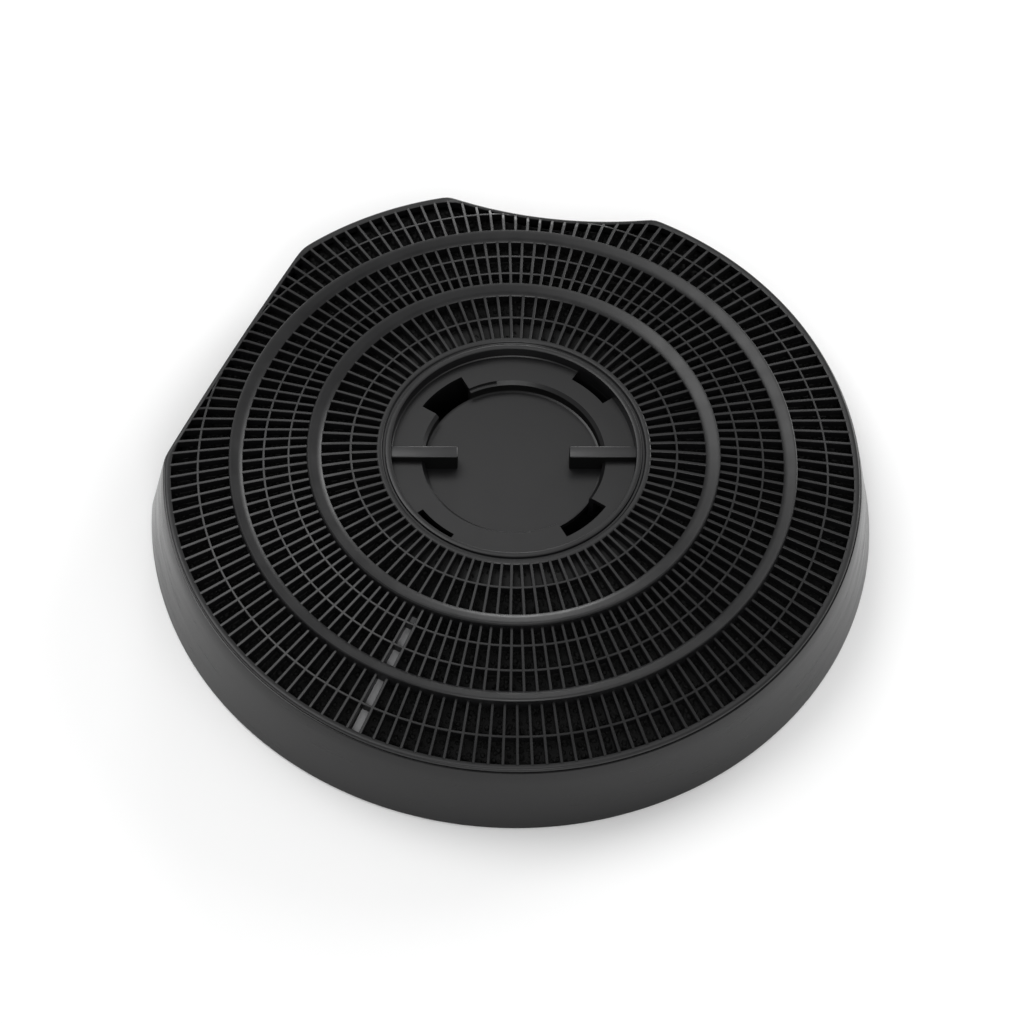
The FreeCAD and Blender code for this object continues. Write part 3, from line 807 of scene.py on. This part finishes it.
bedOfCarbon = {
    "inner": 45.5,
    "step": 53.2,
    "radii": [53.3, 63.0, 73.8, 82.0, 88.9, 93.5, 103.7, 113.5],
    "foot": 2.3,
    "rise": 0.4,             # mm, how deep the loose stones sit in it
    "edgeInset": 2.2,
    "clearance": 0.3,
    "steps": 240,
}


def insidePartition(x, y, margin):
    angle = math.radians(partitionWall["angle"])
    along = x * math.cos(angle) + y * math.sin(angle)
    across = -x * math.sin(angle) + y * math.cos(angle)
    return along > 0 and abs(across) < partitionWall["width"] / 2 + margin


def makeGranules(name, extent, heightAt, chooser):
    # one slice of loose stones, carried round the axis, then cleared from the chord, notch and partition
    bm = bmesh.new()
    inner, outer, edgeInset = extent
    pitch = granules["pitch"]
    slices = granules["slices"]
    jitter = granules["jitter"]
    radius = inner + pitch / 2
    while radius < outer:
        count = max(1, round(fullTurn * radius / pitch / slices))
        for number in range(count):
            angle = fullTurn / slices * (number + 0.5 + chooser.uniform(-jitter, jitter)) / count
            reach = radius + chooser.uniform(-jitter, jitter) * pitch
            stretch = [granules["size"] * chooser.uniform(*granules["sizeSwing"]) * mm for axis in range(3)]
            tilt = Vector([chooser.uniform(-1, 1) for axis in range(3)]).normalized()
            turn = Matrix.Rotation(chooser.uniform(0, fullTurn), 4, tilt)
            height = heightAt(reach) + chooser.uniform(-jitter, jitter)
            centre = Vector((reach * math.cos(angle), reach * math.sin(angle), height)) * mm
            matrix = Matrix.Translation(centre) @ turn @ Matrix.Diagonal(Vector(stretch + [1.0]))
            stone = bmesh.ops.create_icosphere(bm, subdivisions=1, radius=0.5, matrix=matrix)["verts"]
        radius += pitch
    everything = bm.verts[:] + bm.edges[:] + bm.faces[:]
    corners = len(stone)
    bmesh.ops.spin(bm, geom=everything, axis=upAxis, cent=(0, 0, 0), angle=fullTurn * (slices - 1) / slices,
                   steps=slices - 1, use_duplicate=True)
    unwanted = []
    points = bm.verts[:]
    for first in range(0, len(points), corners):
        group = points[first:first + corners]
        centre = sum((vertex.co for vertex in group), Vector()) / corners / mm
        limit = outlineReach(math.atan2(centre.y, centre.x), edgeInset)
        beyond = math.hypot(centre.x, centre.y) > limit
        if beyond or insidePartition(centre.x, centre.y, granules["partitionGap"]):
            unwanted += group
    bmesh.ops.delete(bm, geom=unwanted, context="VERTS")
    addPiece(name, bm, granuleCarbon)


def topOfBed(radius):
    return domeHeight(radius) - grille["depth"] - granules["size"] / 2 - bedOfCarbon["clearance"]


def bottomOfBed(radius):
    return housing["plate"] + granules["lowerRise"]


def makeBed():
    # what lies under the loose stones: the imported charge, stepped down under the flange of the hub
    bm = bmesh.new()
    b = bedOfCarbon
    under = housing["flangeUnder"] - b["clearance"]

    def at(radius, height):
        return lambda angle: (min(radius, outlineReach(angle, b["edgeInset"])), height)

    stations = [at(b["inner"], b["foot"]), at(b["inner"], under), at(b["step"], under)]
    stations += [at(radius, topOfBed(radius) + b["rise"]) for radius in b["radii"]]
    stations.append(at(b["radii"][-1], b["foot"]))
    sweepStations(bm, stations, b["steps"])
    finishPiece("packedCarbon", bm, granuleCarbon, "carbon_granules")


makeBed()
chooser = random.Random(granules["seed"])
makeGranules("upperGranules", granules["upper"], topOfBed, chooser)
makeGranules("lowerGranules", granules["lower"], bottomOfBed, chooser)


# light: white surroundings, a white bench, a black disc of painted shadow under the hub and large soft discs
# all round, none of them strong
studio = {
    "benchSize": 4.0,        # metres from its middle to its sides
    "benchDrop": 0.2,        # mm under the part
    "floorColour": "#ffffff",
    "floorRoughness": 0.85,
    "floorSpecular": 0.1,
    "padRadius": 40.5,       # mm, a painted shadow: a black disc under the hub, so that its windows look into the dark
    "padDrop": 0.1,
    "padSegments": 64,
    "paintedShadowColour": "#050505",
    "padRoughness": 0.9,
    "padSpecular": 0.5,
    "worldColour": "#ffffff",
    "worldStrength": 0.35,
    "lampDistance": 1.8,
    # name, direction round the axis and height in degrees, power in watts, size in metres
    "lamps": [
        ("backRight", 42, 18, 14.5, 1.0),
        ("back", 90, 12, 6.5, 0.5),
        ("backHigh", 90, 66, 2.7, 1.2),
        ("backLeft", 142, 58, 11.8, 1.2),
        ("front", 270, 47, 9.2, 0.9),
        ("frontRight", 315, 42, 2.4, 1.2),
    ],
}


def addStagePiece(name, bm, materialName, colour, roughness, specular):
    material, _, shader = newMaterial(materialName)
    shader.inputs["Base Color"].default_value = linear(colour)
    shader.inputs["Roughness"].default_value = roughness
    shader.inputs["Specular IOR Level"].default_value = specular
    addObject(name, bm, material)


def makeStudio(setup):
    world = bpy.data.worlds.new("studio")
    bpy.context.scene.world = world
    world.use_nodes = True
    background = world.node_tree.nodes["Background"]
    background.inputs["Color"].default_value = linear(setup["worldColour"])
    background.inputs["Strength"].default_value = setup["worldStrength"]
    bm = bmesh.new()
    bmesh.ops.create_grid(bm, x_segments=1, y_segments=1, size=setup["benchSize"],
                          matrix=Matrix.Translation((0, 0, -setup["benchDrop"] * mm)))
    addStagePiece("bench", bm, "whiteBench", setup["floorColour"], setup["floorRoughness"],
                  setup["floorSpecular"])
    # a black disc under the hub paints the shadow that its windows look into
    bm = bmesh.new()
    bmesh.ops.create_circle(bm, cap_ends=True, segments=setup["padSegments"], radius=setup["padRadius"] * mm,
                            matrix=Matrix.Translation((0, 0, -setup["padDrop"] * mm)))
    addStagePiece("paintedShadowDisc", bm, "paintedShadowBlack", setup["paintedShadowColour"], setup["padRoughness"], setup["padSpecular"])
    for name, azimuth, elevation, power, size in setup["lamps"]:
        lamp = bpy.data.lights.new(name, "AREA")
        lamp.energy = power
        lamp.shape = "DISK"
        lamp.size = size
        box = bpy.data.objects.new(name, lamp)
        bpy.context.scene.collection.objects.link(box)
        sideways = Matrix.Rotation(math.radians(azimuth), 3, "Z") @ Vector((1, 0, 0))
        rise = math.radians(elevation)
        place = (sideways * math.cos(rise) + upAxis * math.sin(rise)) * setup["lampDistance"]
        box.location = place
        box.rotation_euler = (-place).to_track_quat("-Z", "Y").to_euler()
    bpy.context.scene.view_settings.view_transform = "Standard"
    bpy.context.scene.view_settings.look = "None"


makeStudio(studio)
print("studio ready")
